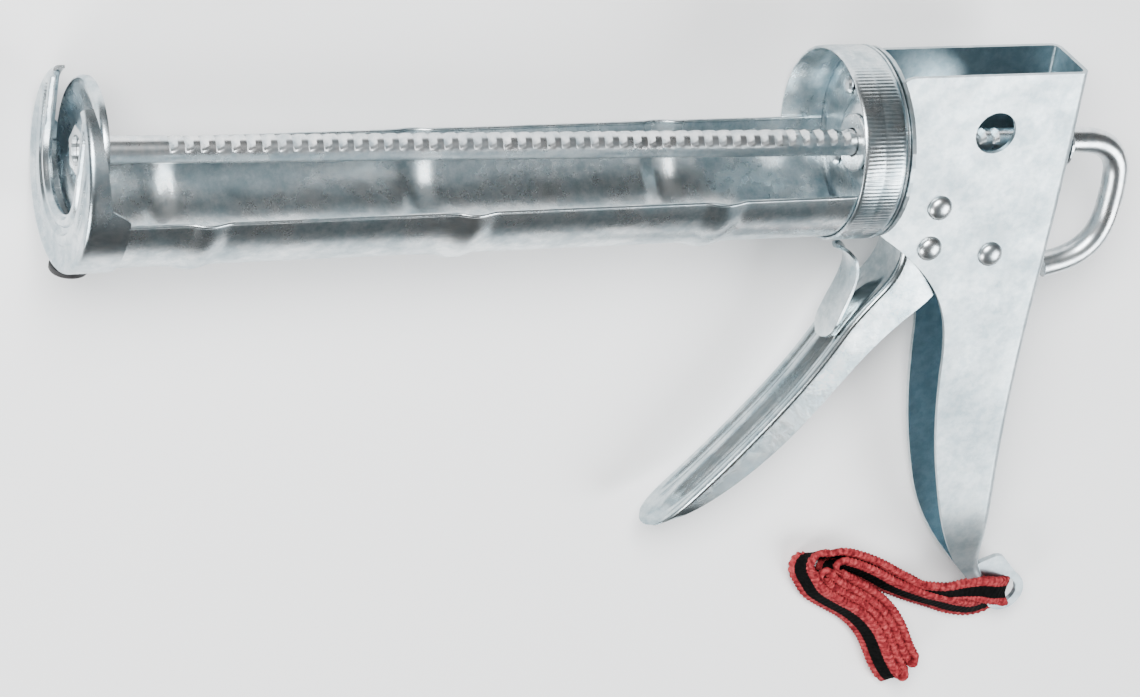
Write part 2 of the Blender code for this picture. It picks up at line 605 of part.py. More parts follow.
def build():
    for old in list(bpy.data.objects):
        bpy.data.objects.remove(old)
    parts = bpy.data.collections.new("caulking_gun")
    cutters = bpy.data.collections.new("cutters")
    for group in (parts, cutters):
        bpy.context.scene.collection.children.link(group)
    cutters.hide_render = True
    zinc = material("zinc_sheet", (0.62, 0.66, 0.68), 0.32, 1.0)
    plate = material("zinc_plate", (0.58, 0.62, 0.65), 0.36, 1.0)
    steel = material("bright_steel", (0.72, 0.73, 0.74), 0.25, 1.0)
    rubber = material("black_rubber", (0.02, 0.02, 0.02), 0.8, 0.0)
    webbing = material("red_webbing", (0.55, 0.04, 0.05), 0.85, 0.0)

    gun = bpy.data.objects.new("gun_axis", None)
    parts.objects.link(gun)
    gun.rotation_euler = (math.radians(LEAN - 90), 0, 0)
    gun.location = at(*SHIFT)
    line = bpy.data.objects.new("rod_axis", None)
    parts.objects.link(line)
    line.parent = gun
    line.location = at(ROD_PIVOT[0], 0, ROD_PIVOT[1])
    line.rotation_euler = (0, math.radians(ROD_TILT), 0)
    hinge = bpy.data.objects.new("trigger_axis", None)
    parts.objects.link(hinge)
    hinge.parent = gun
    hinge.location = at(PIVOT[0], 0, PIVOT[1])

    collar(gun, parts, zinc)
    cradle(gun, parts, zinc)
    cap(gun, parts, cutters, zinc, rubber)
    handle_frame(gun, parts, cutters, plate)
    mounting_flange(gun, parts, cutters, zinc, steel)
    spring_ends = [(PIVOT[0], y, PIVOT[1]) for y in (-5.6, -1.2)]
    coil("trigger_return_spring", *spring_ends, 5.4, 0.5, 3.5, gun, parts, steel)
    front_x = BACK_PLATE_X - BOSS_H - 1.1 - GAP - ROD_PIVOT[0]
    guide_bush("front_guide_bush", front_x, 8.6, 4.6, line, parts, steel)
    rear_x = FRAME_BACK_X + GAP + 1.4 - ROD_PIVOT[0]
    rear = guide_bush("rear_guide_bush", rear_x, 8.2, 4.2, line, parts, steel)
    rear.rotation_euler = (0, 0, math.pi)
    rivet("trigger_pivot_rivet", PIVOT, gun, parts, steel)
    rivet("upper_rivet", UPPER_RIVET, gun, parts, steel)
    rivet("rear_rivet", REAR_RIVET, gun, parts, steel)
    inside = FRAME_W - 2 * FRAME_T - 2 * GAP
    sleeve("pivot_sleeve", PIVOT, gun, parts, steel, inside, 4.4)
    sleeve("upper_sleeve", UPPER_RIVET, gun, parts, steel, inside, 3.2)
    sleeve("rear_sleeve", REAR_RIVET, gun, parts, steel, inside, 4.0)
    strap_eye(gun, parts, plate)
    trigger(hinge, parts, cutters, zinc)
    trigger_lip(hinge, parts, zinc)
    pawl(hinge, parts, steel)
    ratchet_rod(line, parts, steel)
    piston(line, parts, zinc, steel)
    strap(parts, webbing)


build()
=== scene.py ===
"""Looks of the caulking gun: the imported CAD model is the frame, and finer sheet metal,
rod, piston and strap stand for the plain solids.  Lengths below are millimetres in the
gun's own axes: X from nozzle to handle, Z from handle to barrel top, Y away from the
side that shows.  The strap is in the row's axes."""

import math

import bmesh
import bpy
from mathutils import Matrix, Vector


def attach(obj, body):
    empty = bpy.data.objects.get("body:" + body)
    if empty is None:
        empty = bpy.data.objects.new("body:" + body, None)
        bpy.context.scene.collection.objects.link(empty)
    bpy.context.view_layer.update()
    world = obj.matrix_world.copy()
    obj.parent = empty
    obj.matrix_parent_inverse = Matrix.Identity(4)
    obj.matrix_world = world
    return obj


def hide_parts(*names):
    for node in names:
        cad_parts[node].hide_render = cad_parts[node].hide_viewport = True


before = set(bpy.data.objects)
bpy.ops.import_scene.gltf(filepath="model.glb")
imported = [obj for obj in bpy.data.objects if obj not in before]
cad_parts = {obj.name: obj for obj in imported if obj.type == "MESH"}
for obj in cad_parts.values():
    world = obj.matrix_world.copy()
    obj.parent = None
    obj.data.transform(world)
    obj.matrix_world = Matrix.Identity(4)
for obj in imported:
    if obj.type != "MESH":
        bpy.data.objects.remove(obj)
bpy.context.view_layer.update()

MM = 0.001
LEAN = 7.3
SHIFT = (63.08, 68.92, 28.55)
GUN = Matrix.Translation(Vector(SHIFT) * MM) @ Matrix.Rotation(math.radians(LEAN - 90), 4, "X")

# barrel
SHEET = 0.9
COLLAR_R = 28.5
COLLAR_W = 13.4
COLLAR_RIDGES = 150
RIDGE_H = 0.1
CRADLE_R = 27.3
CRADLE_FRONT = -229.0
CRADLE_REAR = 12.6
CRADLE_EDGE_Z = -5.0
RIB_X = (-196.0, -118.0, -41.0)
RIB_W = 13.0
RIB_H = 1.3
HEM_R = 0.62
HEM_SIDES = 10
BACK_PLATE_T = 1.3
# cap
CAP_X = -231.4
CAP_R = 28.5
SLOT_R = 14.0
SLOT_Z = 2.0
CAP_EDGE = 1.6                # radius of the rolled corner between face and skirt
TAB_DEPTH = 12.5
SKIRT_DEPTH = 6.6
# handle
FRAME_T = 1.4
VIEW_HOLE = (51.0, 6.4, 6.6)
FRAME_ROWS = (
    (25.0, 20.6, 79.0, 21.4), (24.2, 18.4, 79.0, 21.4), (22.2, 16.8, 79.0, 21.4),
    (0.0, 16.8, 78.8, 21.4), (-24.0, 16.8, 78.3, 21.4), (-27.0, 20.6, 78.2, 21.4),
    (-31.0, 26.4, 78.0, 21.4), (-36.0, 32.6, 77.9, 21.4), (-42.0, 38.6, 77.6, 21.4),
    (-49.0, 43.6, 77.3, 21.4), (-57.0, 47.0, 77.0, 21.4), (-66.0, 48.8, 76.8, 21.4),
    (-77.0, 49.8, 76.7, 21.4), (-90.0, 51.4, 76.7, 21.4), (-103.0, 53.9, 77.0, 21.4),
    (-116.0, 57.4, 77.7, 21.4), (-127.0, 61.0, 78.4, 20.8), (-136.0, 65.2, 79.3, 18.0),
    (-143.0, 69.6, 80.4, 13.4), (-149.0, 74.6, 82.4, 9.0), (-154.0, 79.4, 85.4, 6.6),
)
PIVOT = (36.7, -31.0)
UPPER_RIVET = (37.4, -17.6)
REAR_RIVET = (57.6, -33.8)
FRAME_W = 21.4
ROD_WINDOW = (79.0, -2.0, 6.0)
RIVET_R = 3.9
RIVET_H = 2.3
# trigger
TRIGGER_W = 16.8
TRIGGER_T = 1.2
RIDGE_RISE = 1.9
TRIGGER_FRONT = (
    (25.0, -14.5), (25.6, -20.4), (27.0, -25.6), (28.8, -31.0), (29.6, -36.0), (27.6, -42.6),
    (23.6, -48.0), (16.8, -56.9), (11.6, -66.3), (4.6, -77.4), (-3.0, -87.6), (-12.4, -99.2),
    (-22.6, -110.8), (-30.6, -119.3), (-36.6, -125.2),
)
TRIGGER_REAR = (
    (33.2, -14.5), (33.2, -20.4), (43.2, -25.6), (45.6, -31.0), (46.0, -37.0), (44.8, -44.0),
    (41.4, -49.8), (33.6, -56.8), (25.2, -65.8), (17.0, -77.0), (8.4, -89.0), (-1.2, -100.4),
    (-13.8, -111.6), (-24.6, -118.6), (-33.6, -123.6),
)
LIP_PATH = (
    (10.2, -62.6), (13.2, -57.6), (15.4, -52.0), (17.0, -46.4), (17.6, -41.6), (16.6, -37.6),
    (14.2, -34.9), (11.4, -33.6),
)
LIP_W = (12.0, 12.0, 11.4, 10.8, 10.2, 9.4, 7.6, 4.0)
LIP_T = 1.1
# rod
ROD_R = 3.9
ROD_TILT = 1.46
ROD_PIVOT = (12.0, -0.3)
ROD_FRONT = -237.6
ROD_PLAIN = -214.0
TOOTH_PITCH = 4.5
TOOTH_DEPTH = 2.1
TOOTH_COUNT = 58
TOOTH_TURN = 14.0
HOOK_PATH = (
    (74.0, 0.0), (79.0, -0.2), (83.4, -1.5), (87.0, -4.2), (89.3, -8.0), (90.2, -12.6),
    (90.4, -20.0), (89.8, -27.0), (87.6, -33.0), (83.6, -37.4), (78.2, -40.2), (71.6, -42.0),
)
DISC_R = 20.5
DISC_X = -238.6
DISC_T = 1.2
ROD = (GUN @ Matrix.Translation(Vector((ROD_PIVOT[0], 0, ROD_PIVOT[1])) * MM)
       @ Matrix.Rotation(math.radians(ROD_TILT), 4, "Y"))
# strap
STRAP_W = 10.0
STRAP_T = 1.95
STRAP_STEP = 0.28             # between the stations that the webbing is built on
WEAVE_PITCH = 1.35
WEAVE_COLUMN = 1.1
BUNDLE_LEAN = 40.0            # degrees that the folded webbing leans from upright
LANE_PITCH = 2.3
BUNDLE_LIFT = 1.4             # of the web's lower edge line above the table
BASE_LANE = (       # row x and y of the lowest edge of the outer lane, from the left end
    (86.5, -84.5), (90.0, -89.5), (95.2, -93.0), (104.6, -98.6), (111.4, -105.5), (117.0, -116.0),
    (120.5, -121.0),
)
LEAN_DIR = Vector((0.66, 0.75, 0.0)).normalized()
BUNDLE_W = (LEAN_DIR * math.sin(math.radians(BUNDLE_LEAN))
            + Vector((0, 0, math.cos(math.radians(BUNDLE_LEAN)))))

# camera, in the row's axes
CAMERA_PLACE = (-516.45, 457.14, 1123.75)
CAMERA_RIGHT = (0.91814008, 0.09807259, 0.3839278)
CAMERA_UP = (0.05040829, 0.93210951, -0.35865145)
CAMERA_BACK = (-0.39303663, 0.34864541, 0.85086343)
CAMERA_LENS = 140.03


def at(x, y, z):
    return Vector((x, y, z)) * MM


# ---- camera, floor and light -------------------------------------------------

def camera():
    turn = Matrix((CAMERA_RIGHT, CAMERA_UP, CAMERA_BACK)).transposed().to_4x4()
    lens = bpy.data.cameras.new("camera")
    lens.lens = CAMERA_LENS
    lens.sensor_width = 36.0
    lens.clip_end = 20.0
    made = bpy.data.objects.new("camera", lens)
    bpy.context.scene.collection.objects.link(made)
    made.matrix_world = Matrix.Translation(Vector(CAMERA_PLACE) * MM) @ turn
    bpy.context.scene.camera = made


def area_light(name, place, target, size, power, colour=(1, 1, 1)):
    light = bpy.data.lights.new(name, "AREA")
    light.shape = "RECTANGLE"
    light.size, light.size_y = size
    light.energy = power
    light.color = colour
    made = bpy.data.objects.new(name, light)
    bpy.context.scene.collection.objects.link(made)
    made.location = place
    made.rotation_euler = (Vector(target) - Vector(place)).to_track_quat("-Z", "Y").to_euler()


def studio():
    world = bpy.data.worlds.new("studio")
    bpy.context.scene.world = world
    world.use_nodes = True
    nodes, links = world.node_tree.nodes, world.node_tree.links
    ground = nodes["Background"]
    coord = nodes.new("ShaderNodeTexCoord")
    split = nodes.new("ShaderNodeSeparateXYZ")
    links.new(coord.outputs["Generated"], split.inputs[0])
    ramp = nodes.new("ShaderNodeValToRGB")
    links.new(split.outputs["Z"], ramp.inputs[0])
    stops = ramp.color_ramp.elements
    stops[0].position, stops[0].color = 0.0, (0.9, 0.93, 0.95, 1)
    stops[1].position, stops[1].color = 1.0, (1.0, 1.0, 1.0, 1)
    for position, colour in ((0.10, (0.16, 0.24, 0.29, 1)), (0.32, (0.07, 0.12, 0.16, 1)),
                             (0.46, (0.9, 0.93, 0.95, 1)), (0.80, (1.0, 1.0, 1.0, 1))):
        stops.new(position).color = colour
    ground.inputs["Strength"].default_value = 1.35
    area_light("key", (-0.5, 0.75, 1.1), (0, 0, 0), (0.9, 0.6), 44.0)
    area_light("fill", (0.9, -0.4, 0.9), (0.05, 0, 0), (0.7, 0.7), 20.0, (0.95, 0.98, 1.0))
    area_light("front", (-0.9, -0.7, 0.6), (-0.05, 0, 0), (0.6, 0.6), 15.0)
    bpy.ops.mesh.primitive_plane_add(size=8.0, location=(0, 0, -0.0003))
    floor = bpy.context.object
    floor.name = "floor"
    paint = bpy.data.materials.new("floor_paint")
    paint.use_nodes = True
    shader = paint.node_tree.nodes["Principled BSDF"]
    shader.inputs["Base Color"].default_value = (0.97, 0.972, 0.975, 1)
    shader.inputs["Roughness"].default_value = 0.7
    floor.data.materials.append(paint)


# ---- materials -----------------------------------------------------------------

def mix_colour(tree, factor, first, second):
    mix = tree.nodes.new("ShaderNodeMix")
    mix.data_type = "RGBA"
    tree.links.new(factor, mix.inputs["Factor"])
    for socket, value in (("A", first), ("B", second)):
        target = [s for s in mix.inputs if s.name == socket and s.type == "RGBA"][0]
        if isinstance(value, tuple):
            target.default_value = (*value, 1)
        else:
            tree.links.new(value, target)
    return [s for s in mix.outputs if s.type == "RGBA"][0]


def noise_node(tree, vector, scale, detail, rough=0.55):
    made = tree.nodes.new("ShaderNodeTexNoise")
    made.inputs["Scale"].default_value = scale
    made.inputs["Detail"].default_value = detail
    made.inputs["Roughness"].default_value = rough
    tree.links.new(vector, made.inputs["Vector"])
    return made.outputs["Fac"]


def ramp_node(tree, value, stops):
    made = tree.nodes.new("ShaderNodeValToRGB")
    tree.links.new(value, made.inputs[0])
    ends = made.color_ramp.elements
    ends[0].position, ends[0].color = stops[0][0], (*stops[0][1], 1)
    ends[1].position, ends[1].color = stops[-1][0], (*stops[-1][1], 1)
    for position, colour in stops[1:-1]:
        ends.new(position).color = (*colour, 1)
    return made.outputs[0]


def span(tree, value, low, high):
    made = tree.nodes.new("ShaderNodeMapRange")
    made.inputs["To Min"].default_value = low
    made.inputs["To Max"].default_value = high
    tree.links.new(value, made.inputs["Value"])
    return made.outputs[0]


def bump_node(tree, height, strength, distance, before=None):
    made = tree.nodes.new("ShaderNodeBump")
    made.inputs["Strength"].default_value = strength
    made.inputs["Distance"].default_value = distance
    tree.links.new(height, made.inputs["Height"])
    if before is not None:
        tree.links.new(before, made.inputs["Normal"])
    return made.outputs[0]


def zinc(name, light, dark, rough, pits=0.5, wavy=0.1):
    """Zinc-plated sheet: clouded colour, patchy gloss, fine grain and a few pits."""
    made = bpy.data.materials.new(name)
    made.use_nodes = True
    tree = made.node_tree
    shader = tree.nodes["Principled BSDF"]
    shader.inputs["Metallic"].default_value = 1.0
    coord = tree.nodes.new("ShaderNodeTexCoord")
    place = coord.outputs["Object"]
    cloud = noise_node(tree, place, 60.0, 6.0, 0.68)
    spangle = noise_node(tree, place, 330.0, 5.0, 0.65)
    grain = noise_node(tree, place, 1500.0, 2.0, 0.6)
    middle = tuple((a + b) / 2 for a, b in zip(light, dark))
    soft = ramp_node(tree, cloud, [(0.36, dark), (0.49, middle), (0.6, light)])
    tint = ramp_node(tree, spangle, [(0.4, (0.74, 0.8, 0.83)), (0.58, (1.0, 1.0, 1.0))])
    colour = tree.nodes.new("ShaderNodeMix")
    colour.data_type = "RGBA"
    colour.blend_type = "MULTIPLY"
    colour.inputs["Factor"].default_value = 0.8
    sockets = [s for s in colour.inputs if s.type == "RGBA"]
    tree.links.new(soft, sockets[0])
    tree.links.new(tint, sockets[1])
    tree.links.new([s for s in colour.outputs if s.type == "RGBA"][0], shader.inputs["Base Color"])
    gloss = span(tree, cloud, rough + 0.16, rough - 0.12)
    tree.links.new(gloss, shader.inputs["Roughness"])
    wave = bump_node(tree, noise_node(tree, place, 70.0, 2.0, 0.5), wavy, 0.0012)
    fine = bump_node(tree, spangle, 0.12 * pits, 0.0003, wave)
    last = bump_node(tree, grain, 0.16 * pits, 0.00006, fine)
    tree.links.new(last, shader.inputs["Normal"])
    return made


def rubber_material():
    made = bpy.data.materials.new("foot_rubber")
    made.use_nodes = True
    tree = made.node_tree
    shader = tree.nodes["Principled BSDF"]
    coord = tree.nodes.new("ShaderNodeTexCoord")
    speck = noise_node(tree, coord.outputs["Object"], 900.0, 3.0)
    tree.links.new(ramp_node(tree, speck, [(0.3, (0.012, 0.012, 0.013)), (0.75, (0.03, 0.03, 0.032))]),
                   shader.inputs["Base Color"])
    tree.links.new(span(tree, speck, 0.55, 0.8), shader.inputs["Roughness"])
    tree.links.new(bump_node(tree, speck, 0.3, 0.0001), shader.inputs["Normal"])
    return made


def webbing_material():
    """Woven nylon, red with a black centre stripe that follows the webbing's length and width, darkened in
    bands between the weave's ribs as painted shade.
    """
    made = bpy.data.materials.new("webbing")
    made.use_nodes = True
    tree = made.node_tree
    shader = tree.nodes["Principled BSDF"]
    uv = tree.nodes.new("ShaderNodeUVMap")
    uv.uv_map = "weave"
    split = tree.nodes.new("ShaderNodeSeparateXYZ")
    tree.links.new(uv.outputs[0], split.inputs[0])
    across = split.outputs["Y"]
    coord = tree.nodes.new("ShaderNodeTexCoord")
    fuzz = noise_node(tree, coord.outputs["Object"], 1400.0, 4.0, 0.7)
    patch = noise_node(tree, coord.outputs["Object"], 620.0, 3.0)
    wobble = tree.nodes.new("ShaderNodeMath")
    wobble.operation = "MULTIPLY_ADD"
    wobble.inputs[1].default_value = 0.05
    tree.links.new(fuzz, wobble.inputs[0])
    tree.links.new(across, wobble.inputs[2])
    stripe = ramp_node(tree, wobble.outputs[0], [
        (0.0, (0, 0, 0)), (0.275, (0, 0, 0)), (0.29, (1, 1, 1)),
        (0.735, (1, 1, 1)), (0.75, (0, 0, 0)), (1.0, (0, 0, 0))])
    red = ramp_node(tree, patch, [
        (0.34, (0.13, 0.010, 0.014)), (0.5, (0.27, 0.026, 0.032)), (0.66, (0.42, 0.062, 0.066))])
    black = ramp_node(tree, patch, [(0.3, (0.0008, 0.0008, 0.0008)), (0.8, (0.004, 0.004, 0.004))])
    body = mix_colour(tree, stripe, red, black)
    wave = tree.nodes.new("ShaderNodeTexWave")
    wave.wave_type = "BANDS"
    wave.bands_direction = "X"
    wave.inputs["Scale"].default_value = 1.0
    wave.inputs["Distortion"].default_value = 1.2
    wave.inputs["Detail"].default_value = 1.0
    stretch = tree.nodes.new("ShaderNodeMapping")
    stretch.inputs["Scale"].default_value = (1.87, 0.9, 1.0)
    tree.links.new(uv.outputs[0], stretch.inputs["Vector"])
    tree.links.new(stretch.outputs[0], wave.inputs["Vector"])
    # painted shade: bands along the length that darken the colour between the weave's ribs
    weave_gap_shade = ramp_node(tree, wave.outputs["Fac"], [(0.0, (0.22, 0.2, 0.2)), (0.45, (1, 1, 1))])
    final = tree.nodes.new("ShaderNodeMix")
    final.data_type = "RGBA"
    final.blend_type = "MULTIPLY"
    final.inputs["Factor"].default_value = 0.45
    sockets = [s for s in final.inputs if s.type == "RGBA"]
    tree.links.new(body, sockets[0])
    tree.links.new(weave_gap_shade, sockets[1])
    tree.links.new([s for s in final.outputs if s.type == "RGBA"][0], shader.inputs["Base Color"])
    tree.links.new(span(tree, fuzz, 0.72, 0.95), shader.inputs["Roughness"])
    shader.inputs["Specular IOR Level"].default_value = 0.06
    low = bump_node(tree, wave.outputs["Fac"], 0.5, 0.00025)
    tree.links.new(bump_node(tree, fuzz, 0.5, 0.0002, low), shader.inputs["Normal"])
    return made


# ---- shapes -----------------------------------------------------------------------

def finish_piece(name, shape, look, matrix=None, smooth=40, recalc=True):
    if recalc:
        bmesh.ops.recalc_face_normals(shape, faces=shape.faces)
    mesh = bpy.data.meshes.new(name)
    if matrix is not None:
        shape.transform(matrix)
    shape.to_mesh(mesh)
    shape.free()
    mesh.shade_smooth()
    mesh.set_sharp_from_angle(angle=math.radians(smooth))
    mesh.materials.append(look)
    made = bpy.data.objects.new(name, mesh)
    bpy.context.scene.collection.objects.link(made)
    return made


def solid_sheet(name, grid, thickness, look, matrix, offset=-1.0, bevel=0.18, smooth=40):
    """Grid of points made a sheet of metal with softened cut edges."""
    shape = bmesh.new()
    rows = [[shape.verts.new(point) for point in row] for row in grid]
    for low, high in zip(rows, rows[1:]):
        for i in range(len(low) - 1):
            shape.faces.new((low[i], low[i + 1], high[i + 1], high[i]))
    made = finish_piece(name, shape, look, matrix, smooth, recalc=False)
    solid = made.modifiers.new("sheet", "SOLIDIFY")
    solid.thickness = thickness * MM
    solid.offset = offset
    if bevel:
        soften(made, bevel)
    return made


def tube(name, rings, look, matrix, smooth=40):
    """Closed solid through rings of points, with flat ends."""
    shape = bmesh.new()
    rows = [[shape.verts.new(point) for point in ring] for ring in rings]
    for low, high in zip(rows, rows[1:]):
        for i in range(len(low)):
            j = (i + 1) % len(low)
            shape.faces.new((low[i], low[j], high[j], high[i]))
    shape.faces.new(rows[0])
    shape.faces.new(rows[-1])
    return finish_piece(name, shape, look, matrix, smooth)


def inner_section(section, thickness, deepest):
    """The (y, d) points of an open section moved inward by the sheet's thickness."""
    out = []
    last = len(section) - 1
    for i, (y, d) in enumerate(section):
        ay, ad = section[max(i - 1, 0)]
        by, bd = section[min(i + 1, last)]
        ty, td = by - ay, bd - ad
        size = math.hypot(ty, td) or 1.0
        out.append((y + td / size * thickness, d - ty / size * thickness))
    out[0] = (out[0][0], section[0][1])
    out[-1] = (out[-1][0], section[-1][1])
    return [(y, min(d, deepest)) for y, d in out]


def shell_between(name, outer, inner, look, matrix, smooth=45, bevel=0.2):
    """Closed shell between two grids of points that share their edges' order."""
    shape = bmesh.new()
    a = [[shape.verts.new(point) for point in row] for row in outer]
    b = [[shape.verts.new(point) for point in row] for row in inner]
    width = len(a[0])
    for i in range(len(a) - 1):
        for k in range(width - 1):
            shape.faces.new((a[i][k], a[i][k + 1], a[i + 1][k + 1], a[i + 1][k]))
            shape.faces.new((b[i][k], b[i + 1][k], b[i + 1][k + 1], b[i][k + 1]))
        shape.faces.new((a[i][0], a[i + 1][0], b[i + 1][0], b[i][0]))
        shape.faces.new((a[i][-1], b[i][-1], b[i + 1][-1], a[i + 1][-1]))
    for row_a, row_b, flip in ((a[0], b[0], False), (a[-1], b[-1], True)):
        for k in range(width - 1):
            face = (row_a[k], row_b[k], row_b[k + 1], row_a[k + 1])
            shape.faces.new(face[::-1] if flip else face)
    made = finish_piece(name, shape, look, matrix, smooth)
    if bevel:
        soften(made, bevel, 2, 60)
    return made


def soften(made, width, segments=2, angle=50):
    edge = made.modifiers.new("edge", "BEVEL")
    edge.width = width * MM
    edge.segments = segments
    edge.limit_method = "ANGLE"
    edge.angle_limit = math.radians(angle)
    edge.harden_normals = True
    edge.use_clamp_overlap = True


def smooth_path(points, per):
    """Points on a centripetal curve through the given tuples, with per points in each span."""
    out = []
    last = len(points) - 1
    for i in range(last):
        p0 = points[max(i - 1, 0)]
        p1, p2 = points[i], points[i + 1]
        p3 = points[min(i + 2, last)]
        d = [math.dist(a, b) ** 0.5 or 1e-6 for a, b in ((p0, p1), (p1, p2), (p2, p3))]
        for k in range(per):
            t = k / per
            row = []
            for a, b, c, e in zip(p0, p1, p2, p3):
                m1 = m2 = c - b
                if i:
                    m1 = (c - b) + d[1] * ((b - a) / d[0] - (c - a) / (d[0] + d[1]))
                if i < last - 1:
                    m2 = (c - b) + d[1] * ((e - c) / d[2] - (e - b) / (d[1] + d[2]))
                h = ((2 * t - 3) * t * t + 1, ((t - 2) * t + 1) * t,
                     (3 - 2 * t) * t * t, (t - 1) * t * t)
                row.append(h[0] * b + h[1] * m1 + h[2] * c + h[3] * m2)
            out.append(tuple(row))
    out.append(tuple(points[last]))
    return out


def relaxed(points, rounds):
    """The same path with its small kinks averaged out; the ends stay."""
    for _ in range(rounds):
        inner = [tuple((a + 2 * b + c) / 4 for a, b, c in zip(*three))
                 for three in zip(points, points[1:], points[2:])]
        points = [points[0], *inner, points[-1]]
    return points


def turned(name, profile, steps, look, matrix, closed=True, smooth=40):
    """(radius, x) profile turned about X."""
    shape = bmesh.new()
    rings = []
    for r, x in profile:
        if r < 1e-6:
            rings.append([shape.verts.new(at(x, 0, 0))])
            continue
        rings.append([shape.verts.new(at(x, r * math.sin(a), r * math.cos(a)))
                      for a in (2 * math.pi * k / steps for k in range(steps))])
    pairs = list(zip(rings, rings[1:] + rings[:1])) if closed else list(zip(rings, rings[1:]))
    for low, high in pairs:
        for k in range(steps):
            j = (k + 1) % steps
            corners = [low[k], low[j], high[j], high[k]] if len(low) > 1 and len(high) > 1 else (
                [low[0], high[j], high[k]] if len(low) == 1 else [low[k], low[j], high[0]])
            shape.faces.new(corners)
    return finish_piece(name, shape, look, matrix, smooth)


# ---- barrel -----------------------------------------------------------------------

def rib_lift(x):
    lift = 0.0
    for rib in RIB_X:
        d = abs(x - rib) / (RIB_W / 2)
        if d < 1.0:
            lift = RIB_H * (0.5 + 0.5 * math.cos(math.pi * d)) ** 0.8
    return lift


def cradle(look):
    half = math.acos(-CRADLE_EDGE_Z / CRADLE_R)
    stations = set()
    x = CRADLE_FRONT
    while x < CRADLE_REAR:
        stations.add(round(x, 3))
        near_rib = any(abs(x - rib) < RIB_W / 2 + 2 for rib in RIB_X)
        x += 0.8 if near_rib else 4.0
    stations.add(CRADLE_REAR)
    grid = []
    for x in sorted(stations):
        r = CRADLE_R + rib_lift(x)
        row = []
        for k in range(81):
            a = -half + 2 * half * k / 80
            row.append(at(x, r * math.sin(a), -r * math.cos(a)))
        grid.append(row)
    made = solid_sheet("cradle_trough", grid, SHEET, look, GUN, offset=-1.0, bevel=0.25)
    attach(made, "root")
    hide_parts("cradle")
    for side, name in ((-1, "near_hem"), (1, "far_hem")):
        hem(name, side, sorted(stations), half, look)


def hem(name, side, stations, half, look):
    """Folded edge along one side of the trough."""
    rings = []
    for x in stations:
        if x < CAP_X + 4.0:
            continue
        r = CRADLE_R + rib_lift(x) - 0.45
        y, z = side * r * math.sin(half), -r * math.cos(half) + 0.1
        ring = []
        for k in range(HEM_SIDES):
            a = 2 * math.pi * k / HEM_SIDES
            ring.append(at(x, y + HEM_R * math.cos(a), z + HEM_R * math.sin(a)))
        rings.append(ring)
    made = tube(name, rings, look, GUN)
    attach(made, "root")


def collar(look):
    """Band with fine rolled ridges along its width."""
    steps = COLLAR_RIDGES * 6
    inner = COLLAR_R - SHEET
    outside = [(COLLAR_W, 0.0), (COLLAR_W - 1.0, 0.0), (COLLAR_W - 1.5, 1.0), (7.4, 1.0), (6.9, 0.25),
               (6.4, 0.25), (5.9, 1.0), (1.6, 1.0), (1.0, 0.0), (0.35, 0.0)]
    shape = bmesh.new()
    rings = []
    for x, share in outside:
        ring = []
        for k in range(steps):
            a = 2 * math.pi * k / steps
            lift = RIDGE_H * share * (0.5 - 0.5 * math.cos(COLLAR_RIDGES * a))
            edge = 0.35 if x == COLLAR_W else 0.0
            r = COLLAR_R - 0.11 + lift - edge
            ring.append(shape.verts.new(at(x, r * math.sin(a), r * math.cos(a))))
        rings.append(ring)
    turns = [2 * math.pi * k / steps for k in range(steps)]
    for r, x in ((COLLAR_R - 0.4, 0.0), (inner + 0.15, 0.0), (inner, 0.15), (inner, COLLAR_W)):
        rings.append([shape.verts.new(at(x, r * math.sin(a), r * math.cos(a))) for a in turns])
    for low, high in zip(rings, rings[1:] + rings[:1]):
        for k in range(steps):
            j = (k + 1) % steps
            shape.faces.new((low[k], low[j], high[j], high[k]))
    made = finish_piece("collar_band", shape, look, GUN, 50)
    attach(made, "root")
    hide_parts("collar_ring")
    bead = [(COLLAR_R - 0.05, COLLAR_W + 0.1), (COLLAR_R, COLLAR_W + 0.5),
            (COLLAR_R - 0.3, COLLAR_W + 0.9), (COLLAR_R - 1.2, COLLAR_W + 1.0),
            (COLLAR_R - 1.2, COLLAR_W + 0.1)]
    rim = turned("collar_rim", bead, 144, look, GUN)
    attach(rim, "root")


def back_plate(look):
    front = COLLAR_W + 0.3
    curve = [(5.9, -2.3), (8.0, -2.35), (10.6, -2.2), (12.0, -1.6), (13.2, -0.7), (14.4, -0.12),
             (16.0, 0.0), (22.0, 0.0), (23.2, -0.35), (24.4, -0.35), (25.4, 0.0), (27.2, 0.0)]
    profile = [(r, front + x) for r, x in curve]
    profile += [(r, front + x + BACK_PLATE_T) for r, x in reversed(curve)]
    made = turned("collar_plate", profile, 120, look, GUN)
    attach(made, "root")
    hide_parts("collar_back_plate")


# ---- cap -----------------------------------------------------------------------------

def slot_outline(steps):
    """(y, z) round the U slot from the far horn down and up to the near horn."""
    top = math.sqrt((CAP_R - CAP_EDGE) ** 2 - SLOT_R ** 2)
    out = [(SLOT_R, top + (SLOT_Z - top) * k / steps) for k in range(steps)]
    for k in range(2 * steps + 1):
        a = -math.pi * k / (2 * steps)
        out.append((SLOT_R * math.cos(a), SLOT_Z + SLOT_R * math.sin(a)))
    out += [(-SLOT_R, SLOT_Z + (top - SLOT_Z) * (k + 1) / steps) for k in range(steps)]
    return out


def stamp(d):
    """Depth of the stamped steps at a distance from the slot's edge."""
    def step(a, b):
        t = min(max((d - a) / (b - a), 0.0), 1.0)
        return t * t * (3 - 2 * t)
    return 1.3 * (1 - step(0.5, 1.6)) + 1.1 * (step(2.9, 3.7) - step(5.0, 6.0)) + 0.8 * step(8.2, 9.2)


